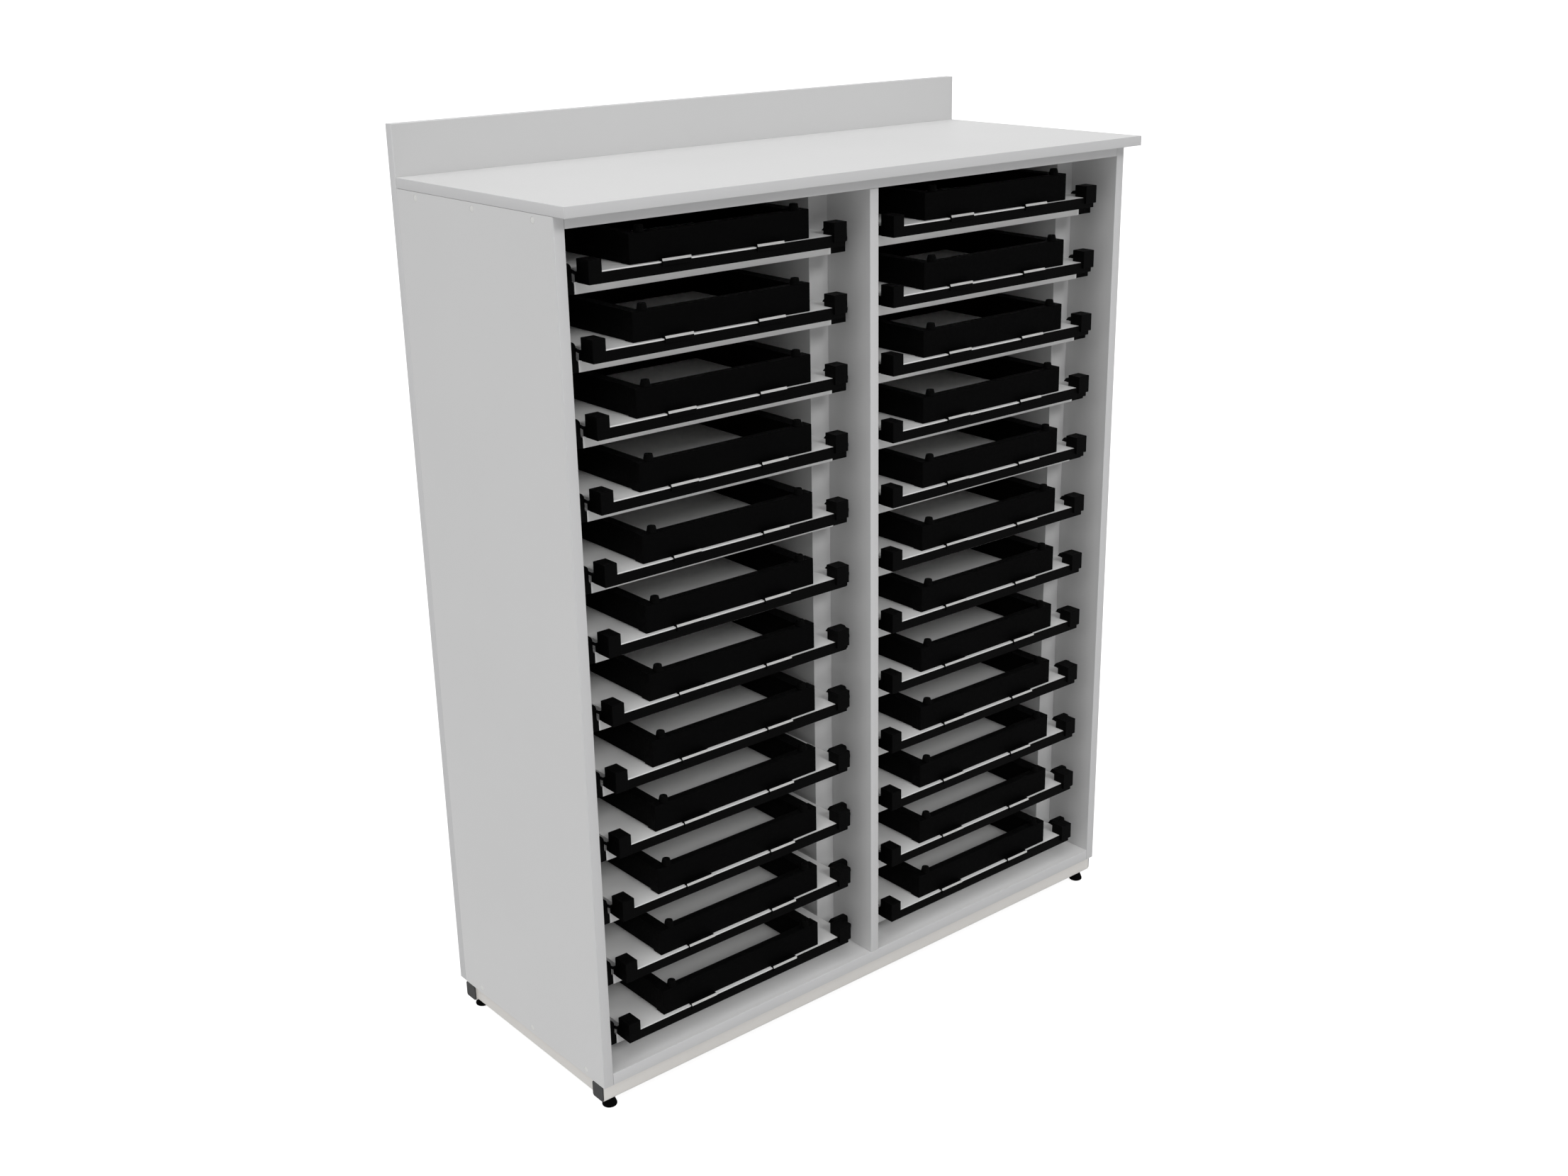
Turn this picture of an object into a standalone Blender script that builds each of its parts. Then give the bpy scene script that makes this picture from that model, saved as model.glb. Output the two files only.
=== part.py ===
import bmesh
import bpy
from math import cos, pi, radians, sin
from mathutils import Euler, Matrix, Vector

for leftover in list(bpy.data.objects):
    bpy.data.objects.remove(leftover, do_unlink=True)

# Metres. x runs right from the outer left side, y runs back from the front edge of the
# sides, z runs up from the bottom of the sides. A board has its own frame: x from the
# middle of its bay, y as above, z up from its drawing surface.

# Counts and fits
ROWS = 12
ROW_PITCH = 0.113
SEAT_GAP = 0.0003  # between pieces that touch
BITE = 0.0004  # how far a fused shape reaches into its neighbour
WELD = 0.00001
FLAT_ANGLE = 0.001
AXES = "XYZ"
STAND_UP = {"X": Euler((pi / 2, 0, pi / 2)), "Y": Euler((pi / 2, 0, 0))}

# Drawing board: a white drawing panel on a wider, set-back base panel
BOARD_WIDTH = 0.472
BOARD_DEPTH = 0.394
BOARD_THICKNESS = 0.018
BOARD_INSET = 0.011  # drawing panel's front edge, behind the cabinet front
BASE_SIDE_STEP = 0.006  # base is wider than the panel by this on each side
BASE_SETBACK = 0.036  # base front, behind the panel's front edge
BASE_THICKNESS = 0.018

# Front rule with its two heads
RULE_DEPTH = 0.008
RULE_DROP = 0.0022  # rule's top, under the drawing surface
RULE_PROUD = 0.0005
RULE_UNDERHANG = 0.0004
GRIP_WIDTH = 0.053  # raised ribbed grips on the rule
GRIP_OFFSET = 0.0887
LEFT_HEAD_WIDTH = 0.0230
LEFT_HEAD_DEPTH = 0.0305
LEFT_HEAD_RISE = 0.0168
LEFT_HEAD_PROUD = 0.0010
RIGHT_HEAD_WIDTH = 0.0268
RIGHT_HEAD_DEPTH = 0.0262
RIGHT_HEAD_RISE = 0.0200
RIGHT_HEAD_PROUD = 0.0040
RIGHT_HEAD_LIFT = 0.0078  # over the rule's underside
HEAD_INSET = 0.0007  # head's outer face, inside the base's end
HEAD_CHAMFER = 0.0015
RULE_END_INSET = 0.003  # rule's right end, inside the head over it
ARM_DROP = 0.0030
ARM_WIDTH = 0.012

# Clamps on the base's ends: the left one crowned, the right one with a hook on a shoulder
CLAMP_WIDTH = 0.0317
CLAMP_DEPTH = 0.022
CLAMP_SHIFT = 0.003  # upper half's inner face, outside the base's end
CLAMP_FLARE = 0.0043  # upper half's outer face, outside the lower half's
CLAMP_WAIST = 0.0026  # under the panel's underside
CROWN_RISE = 0.0104  # over the drawing surface
CROWN_ROUND = 0.010
SHOULDER_DROP = 0.012  # under the drawing surface
HOOK_SETBACK = 0.0086  # behind the clamp's front
HOOK_DEPTH = 0.008
HOOK_RISE = 0.0046
HOOK_REACH = 0.0052  # tip, inside the base's end
HOOK_SLOPE = 0.0057
HOOK_ROUND = 0.008
CLAMP_ROUND_STEPS = 3

# Stand frame lying on the board, upside down with its feet in the air
FRAME_WIDTH = 0.333
FRAME_DEPTH = 0.280
FRAME_HEIGHT = 0.0447
FRAME_SIDE_WALL = 0.018
FRAME_END_WALL = 0.0145
FRAME_BACKSET = 0.006  # behind the panel's front edge
FRAME_OFFSET = 0.0022  # right of the bay's middle
FRAME_CORNER = 0.0035
FRAME_CORNER_STEPS = 1
FRAME_FOOT_RADIUS = 0.0072
FRAME_FOOT_HEIGHT = 0.010
FRAME_FOOT_TAPER = 0.0010
FRAME_FOOT_INSET = 0.0198  # foot axis from the frame's outer side
FRAME_FOOT_SIDES = 8

# Cabinet panels
PANEL = 0.018
BOTTOM_THICKNESS = 0.021
BOTTOM_CLEARANCE = 0.0164  # bottom panel to the lowest base
HEAD_ROOM = 0.0109  # highest frame foot to the top panel
REAR_CLEARANCE = 0.032
WORKTOP_THICKNESS = 0.0165
WORKTOP_FRONT_OVERHANG = 0.029
WORKTOP_RIGHT_OVERHANG = 0.0107
UPSTAND_HEIGHT = 0.0797

# Linings on the walls, and the ledges on them that the bases slide on
LINING_WIDTH = 0.040
LINING_SETBACK = 0.102
LINING_REAR_GAP = 0.020
BASE_SIDE_GAP = 0.0015
LEDGE_BEARING = 0.008  # base width that rests on the ledge
LEDGE_HEIGHT = 0.010
LEDGE_SETBACK = 0.004  # ledge ends, inside the lining's edges

# Welded base and levelling feet
TUBE = 0.030
TUBE_WALL = 0.002
TUBE_CORNER = 0.004
TUBE_CORNER_STEPS = 2
TUBE_FRONT_INSET = 0.0075
TUBE_REAR_INSET = 0.017
SIDE_TUBE_INSET = 0.006
WELD_STEP = 0.0001  # side tubes sit this far inside the front and rear tubes' faces
CAP_THICKNESS = 0.003
CAP_STEP = 0.0008
FOOT_INSET = 0.0227
FOOT_RADIUS = 0.0125
FOOT_HEIGHT = 0.019
FOOT_RIM = 0.003
FOOT_NECK_RADIUS = 0.0065
STEM_RADIUS = 0.004
STEM_LENGTH = 0.022
STEM_CLEARANCE = 0.0003
ROUND_SIDES = 14

# Derived sizes
BASE_WIDTH = BOARD_WIDTH + 2 * BASE_SIDE_STEP
BAY_WIDTH = BASE_WIDTH + 2 * (LINING_WIDTH + BASE_SIDE_GAP)
CARCASS_WIDTH = 2 * BAY_WIDTH + 3 * PANEL
BOARD_REAR = BOARD_INSET + BOARD_DEPTH
BASE_FRONT = BOARD_INSET + BASE_SETBACK
BASE_UNDERSIDE = -BOARD_THICKNESS - BASE_THICKNESS
SIDE_DEPTH = BOARD_REAR + REAR_CLEARANCE
LOWEST_SURFACE = BOTTOM_THICKNESS + BOTTOM_CLEARANCE - BASE_UNDERSIDE
FRAME_TOP = SEAT_GAP + FRAME_HEIGHT
STACK_TOP = LOWEST_SURFACE + (ROWS - 1) * ROW_PITCH + FRAME_TOP + FRAME_FOOT_HEIGHT
TOP_UNDERSIDE = STACK_TOP + HEAD_ROOM
SIDE_HEIGHT = TOP_UNDERSIDE + PANEL
WORKTOP_WIDTH = CARCASS_WIDTH + WORKTOP_RIGHT_OVERHANG
BACK_FRONT = SIDE_DEPTH + SEAT_GAP
BACK_REAR = BACK_FRONT + PANEL
WORKTOP_TOP = SIDE_HEIGHT + SEAT_GAP + WORKTOP_THICKNESS
BACK_HEIGHT = WORKTOP_TOP + UPSTAND_HEIGHT
TUBE_TOP = -SEAT_GAP
TUBE_BOTTOM = TUBE_TOP - TUBE
REAR_TUBE_FRONT = BACK_REAR - TUBE_REAR_INSET - TUBE
FLOOR = TUBE_BOTTOM - SEAT_GAP - FOOT_HEIGHT
LEDGE_TOP = BASE_UNDERSIDE - SEAT_GAP
LEDGE_REACH = LEDGE_BEARING + BASE_SIDE_GAP
LINING_REAR = SIDE_DEPTH - LINING_REAR_GAP
PARTITION_LEFT = PANEL + BAY_WIDTH
BAY_MIDDLES = (PANEL + BAY_WIDTH / 2, PARTITION_LEFT + PANEL + BAY_WIDTH / 2)


def material(name, colour, roughness, metallic=0.0):
    made = bpy.data.materials.new(name)
    made.use_nodes = True
    shader = made.node_tree.nodes["Principled BSDF"]
    shader.inputs["Base Color"].default_value = (*colour, 1.0)
    shader.inputs["Roughness"].default_value = roughness
    shader.inputs["Metallic"].default_value = metallic
    made.diffuse_color = (*colour, 1.0)
    return made


WHITE_PANEL = material("white_panel", (0.80, 0.80, 0.79), 0.45)
WHITE_BOARD = material("white_board", (0.88, 0.88, 0.88), 0.35)
BLACK_PLASTIC = material("black_plastic", (0.015, 0.015, 0.016), 0.5)
BEIGE_METAL = material("beige_metal", (0.72, 0.69, 0.62), 0.4)
FOOT_PLASTIC = material("foot_plastic", (0.02, 0.02, 0.02), 0.55)

parts = bpy.data.collections.new("drawing_board_storage_unit")
tools = bpy.data.collections.new("cutters")
tools.hide_render = True
bpy.context.scene.collection.children.link(parts)
bpy.context.scene.collection.children.link(tools)

unit = bpy.data.objects.new("unit_origin", None)
unit.location = (
    -WORKTOP_WIDTH / 2,
    WORKTOP_FRONT_OVERHANG - (WORKTOP_FRONT_OVERHANG + BACK_REAR) / 2,
    -FLOOR,
)
parts.objects.link(unit)


def place(name, bm, surface, where=parts):
    bmesh.ops.recalc_face_normals(bm, faces=bm.faces)
    mesh = bpy.data.meshes.new(name)
    bm.to_mesh(mesh)
    bm.free()
    mesh.materials.append(surface)
    return stand_in_unit(name, mesh, where)


def stand_in_unit(name, mesh, where=parts):
    obj = bpy.data.objects.new(name, mesh)
    where.objects.link(obj)
    if where is tools:
        obj.hide_render = True
        obj.display_type = "WIRE"
    obj.parent = unit
    return obj


def cuboid(x, y, z):
    bm = bmesh.new()
    bmesh.ops.create_cube(bm, size=1.0)
    low, high = Vector((x[0], y[0], z[0])), Vector((x[1], y[1], z[1]))
    for vert in bm.verts:
        vert.co = low + (high - low) * 0.5 + Vector(
            a * b for a, b in zip(vert.co, high - low)
        )
    return bm


def round_along(bm, axis, radius, steps):
    i = AXES.index(axis)
    along = [
        edge for edge in bm.edges if edge.verts[0].co[i] != edge.verts[1].co[i]
    ]
    bmesh.ops.bevel(
        bm, geom=along, offset=radius, segments=steps, profile=0.5, affect="EDGES"
    )
    return bm


# A closed outline, stood up and given thickness along X or Y
def prism(profile, axis, low, high):
    curve = bpy.data.curves.new("outline", "CURVE")
    curve.dimensions = "2D"
    curve.fill_mode = "BOTH"
    curve.extrude = (high - low) / 2
    spline = curve.splines.new("POLY")
    spline.points.add(len(profile) - 1)
    spline.use_cyclic_u = True
    for point, (a, b) in zip(spline.points, profile):
        point.co = (a, b, 0, 1)
    guide = bpy.data.objects.new("outline", curve)
    bpy.context.scene.collection.objects.link(guide)
    bpy.context.view_layer.update()
    graph = bpy.context.evaluated_depsgraph_get()
    mesh = bpy.data.meshes.new_from_object(guide.evaluated_get(graph))
    bm = bmesh.new()
    bm.from_mesh(mesh)
    bpy.data.objects.remove(guide, do_unlink=True)
    bpy.data.curves.remove(curve)
    bpy.data.meshes.remove(mesh)
    bmesh.ops.remove_doubles(bm, verts=bm.verts, dist=WELD)
    bmesh.ops.dissolve_limit(
        bm, angle_limit=FLAT_ANGLE, verts=bm.verts, edges=bm.edges
    )
    middle = Vector()
    middle[AXES.index(axis)] = (low + high) / 2
    bm.transform(Matrix.Translation(middle) @ STAND_UP[axis].to_matrix().to_4x4())
    return bm


def cylinder(radius, low, high, sides, top_radius=None):
    bm = bmesh.new()
    bmesh.ops.create_cone(
        bm,
        cap_ends=True,
        segments=sides,
        radius1=radius,
        radius2=radius if top_radius is None else top_radius,
        depth=high - low,
    )
    bm.transform(Matrix.Translation((0, 0, (low + high) / 2)))
    return bm


def half_section(profile):
    bm = bmesh.new()
    points = [bm.verts.new((radius, 0, z)) for radius, z in profile]
    for a, b in zip(points, points[1:]):
        bm.edges.new((a, b))
    return bm


def arc(centre, radius, start, end, steps):
    angles = [start + (end - start) * i / steps for i in range(steps + 1)]
    return [
        (centre[0] + radius * cos(radians(a)), centre[1] + radius * sin(radians(a)))
        for a in angles
    ]


def combine(target, other, operation):
    step = target.modifiers.new(f"{operation.lower()}_{other.name}", "BOOLEAN")
    step.operation = operation
    step.object = other
    step.solver = "EXACT"
    step.material_mode = "TRANSFER"


def add(target, name, bm, surface):
    combine(target, place(name, bm, surface, tools), "UNION")


def cut(target, name, bm, surface):
    combine(target, place(name, bm, surface, tools), "DIFFERENCE")


def shared_mesh(master):
    bpy.context.view_layer.update()
    graph = bpy.context.evaluated_depsgraph_get()
    mesh = bpy.data.meshes.new_from_object(master.evaluated_get(graph))
    mesh.name = master.name
    used = [step.object for step in master.modifiers]
    for obj in [master, *used]:
        bpy.data.objects.remove(obj, do_unlink=True)
    return mesh


# Cabinet panels
full_depth = (0, SIDE_DEPTH)
full_height = (0, SIDE_HEIGHT)
left_side = place(
    "left_side_panel", cuboid((0, PANEL), full_depth, full_height), WHITE_PANEL
)
right_side = place(
    "right_side_panel",
    cuboid((CARCASS_WIDTH - PANEL, CARCASS_WIDTH), full_depth, full_height),
    WHITE_PANEL,
)
inside = (PANEL + SEAT_GAP, CARCASS_WIDTH - PANEL - SEAT_GAP)
place("bottom_panel", cuboid(inside, full_depth, (0, BOTTOM_THICKNESS)), WHITE_PANEL)
place("top_panel", cuboid(inside, full_depth, (TOP_UNDERSIDE, SIDE_HEIGHT)), WHITE_PANEL)
partition = place(
    "centre_partition",
    cuboid(
        (PARTITION_LEFT, PARTITION_LEFT + PANEL),
        full_depth,
        (BOTTOM_THICKNESS + SEAT_GAP, TOP_UNDERSIDE - SEAT_GAP),
    ),
    WHITE_PANEL,
)
place(
    "back_panel",
    cuboid((0, WORKTOP_WIDTH), (BACK_FRONT, BACK_REAR), (0, BACK_HEIGHT)),
    WHITE_PANEL,
)
place(
    "worktop",
    cuboid(
        (0, WORKTOP_WIDTH),
        (-WORKTOP_FRONT_OVERHANG, SIDE_DEPTH),
        (SIDE_HEIGHT + SEAT_GAP, WORKTOP_TOP),
    ),
    WHITE_PANEL,
)


# Linings and ledges, fused with the wall that carries them
def runner_rack(wall, face, inward):
    def span(a, b):
        return tuple(sorted((face + inward * a, face + inward * b)))

    label = "left" if inward < 0 else "right"
    add(
        wall,
        f"{wall.name}_{label}_lining",
        cuboid(
            span(-BITE, LINING_WIDTH),
            (LINING_SETBACK, LINING_REAR),
            (BOTTOM_THICKNESS + 2 * SEAT_GAP, TOP_UNDERSIDE - 2 * SEAT_GAP),
        ),
        WHITE_PANEL,
    )
    lowest = LOWEST_SURFACE + LEDGE_TOP
    ledges = place(
        f"{wall.name}_{label}_ledges",
        cuboid(
            span(LINING_WIDTH - BITE, LINING_WIDTH + LEDGE_REACH),
            (LINING_SETBACK + LEDGE_SETBACK, LINING_REAR - LEDGE_SETBACK),
            (lowest - LEDGE_HEIGHT, lowest),
        ),
        WHITE_PANEL,
        tools,
    )
    repeat = ledges.modifiers.new("rows", "ARRAY")
    repeat.count = ROWS
    repeat.use_relative_offset = False
    repeat.use_constant_offset = True
    repeat.constant_offset_displace = (0, 0, ROW_PITCH)
    combine(wall, ledges, "UNION")


runner_rack(left_side, PANEL, 1)
runner_rack(partition, PARTITION_LEFT, -1)
runner_rack(partition, PARTITION_LEFT + PANEL, 1)
runner_rack(right_side, CARCASS_WIDTH - PANEL, -1)


# Welded base of square tube, closed by end caps
def bore_of(x, y):
    return cuboid(x, y, (TUBE_BOTTOM + TUBE_WALL, TUBE_TOP - TUBE_WALL))


def tube(x, y, axis, inset=0.0):
    bm = cuboid(x, y, (TUBE_BOTTOM + inset, TUBE_TOP - inset))
    return round_along(bm, axis, TUBE_CORNER - inset, TUBE_CORNER_STEPS)


tube_ends = (CAP_THICKNESS, CARCASS_WIDTH - CAP_THICKNESS)
front_y = (TUBE_FRONT_INSET, TUBE_FRONT_INSET + TUBE)
rear_y = (REAR_TUBE_FRONT, REAR_TUBE_FRONT + TUBE)
left_x = (SIDE_TUBE_INSET, SIDE_TUBE_INSET + TUBE)
right_x = (CARCASS_WIDTH - left_x[1], CARCASS_WIDTH - left_x[0])


def inner(span, wall=TUBE_WALL):
    return (span[0] + wall, span[1] - wall)


base = place("base_frame", tube(tube_ends, front_y, "X"), BEIGE_METAL)
add(base, "rear_tube", tube(tube_ends, rear_y, "X"), BEIGE_METAL)
between = (front_y[1] - TUBE_CORNER, rear_y[0] + TUBE_CORNER)
add(base, "left_tube", tube(left_x, between, "Y", WELD_STEP), BEIGE_METAL)
add(base, "right_tube", tube(right_x, between, "Y", WELD_STEP), BEIGE_METAL)
for label, y in (("front", front_y), ("rear", rear_y)):
    for side, x in (
        ("left", (0, CAP_THICKNESS + BITE)),
        ("right", (CARCASS_WIDTH - CAP_THICKNESS - BITE, CARCASS_WIDTH)),
    ):
        add(
            base,
            f"{label}_{side}_cap",
            tube(x, inner(y, CAP_STEP), "X", CAP_STEP),
            FOOT_PLASTIC,
        )
    cut(
        base,
        f"{label}_tube_bore",
        bore_of(inner(tube_ends), inner(y)),
        BEIGE_METAL,
    )
link = (sum(front_y) / 2, sum(rear_y) / 2)
cut(base, "left_tube_bore", bore_of(inner(left_x), link), BEIGE_METAL)
cut(base, "right_tube_bore", bore_of(inner(right_x), link), BEIGE_METAL)

# Levelling feet, each on its own screw axis
foot_section = [
    (0, FOOT_HEIGHT + STEM_LENGTH),
    (STEM_RADIUS, FOOT_HEIGHT + STEM_LENGTH),
    (STEM_RADIUS, FOOT_HEIGHT),
    (FOOT_NECK_RADIUS, FOOT_HEIGHT),
    (FOOT_RADIUS, FOOT_RIM),
    (FOOT_RADIUS, 0),
    (0, 0),
]
for label, y in (("front", sum(front_y) / 2), ("rear", sum(rear_y) / 2)):
    for side, x in (("left", FOOT_INSET), ("right", CARCASS_WIDTH - FOOT_INSET)):
        bore = place(
            f"{label}_{side}_foot_bore",
            cylinder(
                STEM_RADIUS + STEM_CLEARANCE, -TUBE_WALL, 2 * TUBE_WALL, ROUND_SIDES
            ),
            BEIGE_METAL,
            tools,
        )
        bore.location = (x, y, TUBE_BOTTOM)
        combine(base, bore, "DIFFERENCE")
        foot = place(f"foot_{label}_{side}", half_section(foot_section), FOOT_PLASTIC)
        foot.location = (x, y, FLOOR)
        spin = foot.modifiers.new("turned", "SCREW")
        spin.steps = spin.render_steps = ROUND_SIDES
        spin.use_merge_vertices = True
        spin.merge_threshold = WELD

# Drawing board with its front rule and end clamps
half_board = BOARD_WIDTH / 2
half_base = BASE_WIDTH / 2
half_heads = half_base - HEAD_INSET
rule_front = BOARD_INSET - RULE_PROUD
rule_bottom = -BOARD_THICKNESS - RULE_UNDERHANG
board = place(
    "drawing_board",
    cuboid(
        (-half_board, half_board), (BOARD_INSET, BOARD_REAR), (-BOARD_THICKNESS, 0)
    ),
    WHITE_BOARD,
)
add(
    board,
    "base",
    cuboid(
        (-half_base, half_base),
        (BASE_FRONT, BOARD_REAR - BITE),
        (BASE_UNDERSIDE, -BOARD_THICKNESS + BITE),
    ),
    WHITE_BOARD,
)
rule_ends = (-half_heads + LEFT_HEAD_WIDTH / 2, half_heads - RULE_END_INSET)
grip_edges = [
    -GRIP_OFFSET - GRIP_WIDTH / 2,
    -GRIP_OFFSET + GRIP_WIDTH / 2,
    GRIP_OFFSET - GRIP_WIDTH / 2,
]
low_top, high_top = -RULE_DROP, -BITE
add(
    board,
    "front_rule",
    prism(
        [
            (rule_ends[0], rule_bottom),
            (rule_ends[1], rule_bottom),
            (rule_ends[1], high_top),
            (grip_edges[2], high_top),
            (grip_edges[2], low_top),
            (grip_edges[1], low_top),
            (grip_edges[1], high_top),
            (grip_edges[0], high_top),
            (grip_edges[0], low_top),
            (rule_ends[0], low_top),
        ],
        "Y",
        rule_front,
        BOARD_INSET + RULE_DEPTH,
    ),
    BLACK_PLASTIC,
)

left_front = BOARD_INSET - LEFT_HEAD_PROUD
left_rear = left_front + LEFT_HEAD_DEPTH
right_front = BOARD_INSET - RIGHT_HEAD_PROUD
right_rear = right_front + RIGHT_HEAD_DEPTH
add(
    board,
    "left_head",
    prism(
        [
            (left_front, rule_bottom),
            (left_front, LEFT_HEAD_RISE - HEAD_CHAMFER),
            (left_front + HEAD_CHAMFER, LEFT_HEAD_RISE),
            (left_rear - HEAD_CHAMFER, LEFT_HEAD_RISE),
            (left_rear, LEFT_HEAD_RISE - HEAD_CHAMFER),
            (left_rear, rule_bottom),
        ],
        "X",
        -half_heads,
        -half_heads + LEFT_HEAD_WIDTH,
    ),
    BLACK_PLASTIC,
)
add(
    board,
    "right_head",
    prism(
        [
            (right_front, rule_bottom + RIGHT_HEAD_LIFT),
            (right_front, RIGHT_HEAD_RISE - HEAD_CHAMFER),
            (right_front + HEAD_CHAMFER, RIGHT_HEAD_RISE),
            (right_rear - HEAD_CHAMFER, RIGHT_HEAD_RISE),
            (right_rear, RIGHT_HEAD_RISE - HEAD_CHAMFER),
            (right_rear, rule_bottom + RIGHT_HEAD_LIFT),
        ],
        "X",
        half_heads - RIGHT_HEAD_WIDTH,
        half_heads,
    ),
    BLACK_PLASTIC,
)

for side, sign, head_rear in (("left", -1, left_rear), ("right", 1, right_rear)):
    add(
        board,
        f"{side}_arm",
        cuboid(
            sorted((sign * half_heads, sign * (half_heads - ARM_WIDTH))),
            (head_rear - ARM_WIDTH, BASE_FRONT + BITE),
            (rule_bottom, -ARM_DROP),
        ),
        BLACK_PLASTIC,
    )

waist = -BOARD_THICKNESS - CLAMP_WAIST
clamp_inner = half_base - BITE
clamp_outer = half_base + CLAMP_WIDTH
upper_inner = half_base + CLAMP_SHIFT
upper_outer = clamp_outer + CLAMP_FLARE
clamp_front = BASE_FRONT + BITE
lower_half = [
    (upper_inner, waist + CLAMP_SHIFT),
    (clamp_inner, waist),
    (clamp_inner, BASE_UNDERSIDE + BITE),
    (clamp_outer, BASE_UNDERSIDE + BITE),
    (clamp_outer, waist),
    (upper_outer, waist + CLAMP_FLARE),
]
crown = [
    *arc(
        (upper_outer - CROWN_ROUND, CROWN_RISE - CROWN_ROUND),
        CROWN_ROUND,
        0,
        90,
        CLAMP_ROUND_STEPS,
    ),
    *arc(
        (upper_inner + CROWN_ROUND, CROWN_RISE - CROWN_ROUND),
        CROWN_ROUND,
        90,
        180,
        CLAMP_ROUND_STEPS,
    ),
]
shoulder = [(upper_outer, -SHOULDER_DROP), (upper_inner, -SHOULDER_DROP)]
for side, sign, upper_half in (("left", -1, crown), ("right", 1, shoulder)):
    add(
        board,
        f"{side}_clamp",
        prism(
            [(sign * a, b) for a, b in lower_half + upper_half],
            "Y",
            clamp_front,
            clamp_front + CLAMP_DEPTH,
        ),
        BLACK_PLASTIC,
    )
hook_inner = half_base - HOOK_REACH
hook_outer = upper_outer - BITE
hook_front = clamp_front + HOOK_SETBACK
add(
    board,
    "right_hook",
    prism(
        [
            (upper_inner + BITE, -SHOULDER_DROP - BITE),
            (hook_outer, -SHOULDER_DROP - BITE),
            *arc(
                (hook_outer - HOOK_ROUND, HOOK_RISE - HOOK_ROUND),
                HOOK_ROUND,
                0,
                90,
                CLAMP_ROUND_STEPS,
            ),
            (hook_inner + HOOK_SLOPE, HOOK_RISE),
            (hook_inner, 0),
            (upper_inner + BITE, 0),
        ],
        "Y",
        hook_front,
        hook_front + HOOK_DEPTH,
    ),
    BLACK_PLASTIC,
)

# Stand frame and its four rubber feet
half_frame = FRAME_WIDTH / 2
frame_front = BOARD_INSET + FRAME_BACKSET
frame_rear = frame_front + FRAME_DEPTH
frame_x = (FRAME_OFFSET - half_frame, FRAME_OFFSET + half_frame)
stand = place(
    "stand_frame",
    round_along(
        cuboid(frame_x, (frame_front, frame_rear), (SEAT_GAP, FRAME_TOP)),
        "Z",
        FRAME_CORNER,
        FRAME_CORNER_STEPS,
    ),
    BLACK_PLASTIC,
)
cut(
    stand,
    "frame_window",
    cuboid(
        (frame_x[0] + FRAME_SIDE_WALL, frame_x[1] - FRAME_SIDE_WALL),
        (frame_front + FRAME_END_WALL, frame_rear - FRAME_END_WALL),
        (-FRAME_HEIGHT, 2 * FRAME_HEIGHT),
    ),
    BLACK_PLASTIC,
)
for label, y in (
    ("front", frame_front + FRAME_END_WALL / 2),
    ("rear", frame_rear - FRAME_END_WALL / 2),
):
    for side, x in (
        ("left", frame_x[0] + FRAME_FOOT_INSET),
        ("right", frame_x[1] - FRAME_FOOT_INSET),
    ):
        pad = place(
            f"{label}_{side}_pad",
            cylinder(
                FRAME_FOOT_RADIUS,
                -BITE,
                FRAME_FOOT_HEIGHT,
                FRAME_FOOT_SIDES,
                FRAME_FOOT_RADIUS - FRAME_FOOT_TAPER,
            ),
            BLACK_PLASTIC,
            tools,
        )
        pad.location = (x, y, FRAME_TOP)
        combine(stand, pad, "UNION")

board_mesh = shared_mesh(board)
stand_mesh = shared_mesh(stand)
for bay, middle in zip("LR", BAY_MIDDLES):
    for row in range(1, ROWS + 1):
        slide = stand_in_unit(f"slide_{bay}{row:02d}", None)
        slide.location = (middle, 0, LOWEST_SURFACE + (ROWS - row) * ROW_PITCH)
        for name, mesh in (("drawing_board", board_mesh), ("stand_frame", stand_mesh)):
            stand_in_unit(f"{name}_{bay}{row:02d}", mesh).parent = slide
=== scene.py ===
import math

import bmesh
import bpy
from mathutils import Euler, Matrix, Vector


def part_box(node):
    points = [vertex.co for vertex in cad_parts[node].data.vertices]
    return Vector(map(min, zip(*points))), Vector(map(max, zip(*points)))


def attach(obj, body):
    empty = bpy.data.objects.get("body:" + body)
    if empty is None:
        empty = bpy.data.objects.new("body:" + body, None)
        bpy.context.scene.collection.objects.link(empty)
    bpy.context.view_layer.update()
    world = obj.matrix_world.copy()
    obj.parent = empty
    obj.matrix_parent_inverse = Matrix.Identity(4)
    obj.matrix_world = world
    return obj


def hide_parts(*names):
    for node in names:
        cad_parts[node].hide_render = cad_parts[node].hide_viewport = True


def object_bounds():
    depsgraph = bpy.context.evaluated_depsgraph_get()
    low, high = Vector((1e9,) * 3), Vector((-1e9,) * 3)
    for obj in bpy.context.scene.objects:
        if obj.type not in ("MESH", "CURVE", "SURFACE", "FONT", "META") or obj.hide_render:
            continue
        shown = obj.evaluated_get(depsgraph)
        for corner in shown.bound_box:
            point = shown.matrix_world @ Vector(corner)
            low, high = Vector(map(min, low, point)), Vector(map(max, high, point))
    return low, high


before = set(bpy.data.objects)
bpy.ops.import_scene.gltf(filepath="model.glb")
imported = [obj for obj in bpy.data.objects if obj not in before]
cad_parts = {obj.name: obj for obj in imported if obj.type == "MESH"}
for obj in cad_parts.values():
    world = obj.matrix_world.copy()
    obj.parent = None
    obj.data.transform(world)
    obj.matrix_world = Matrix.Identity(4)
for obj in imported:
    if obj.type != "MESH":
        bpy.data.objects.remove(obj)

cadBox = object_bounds()

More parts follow.
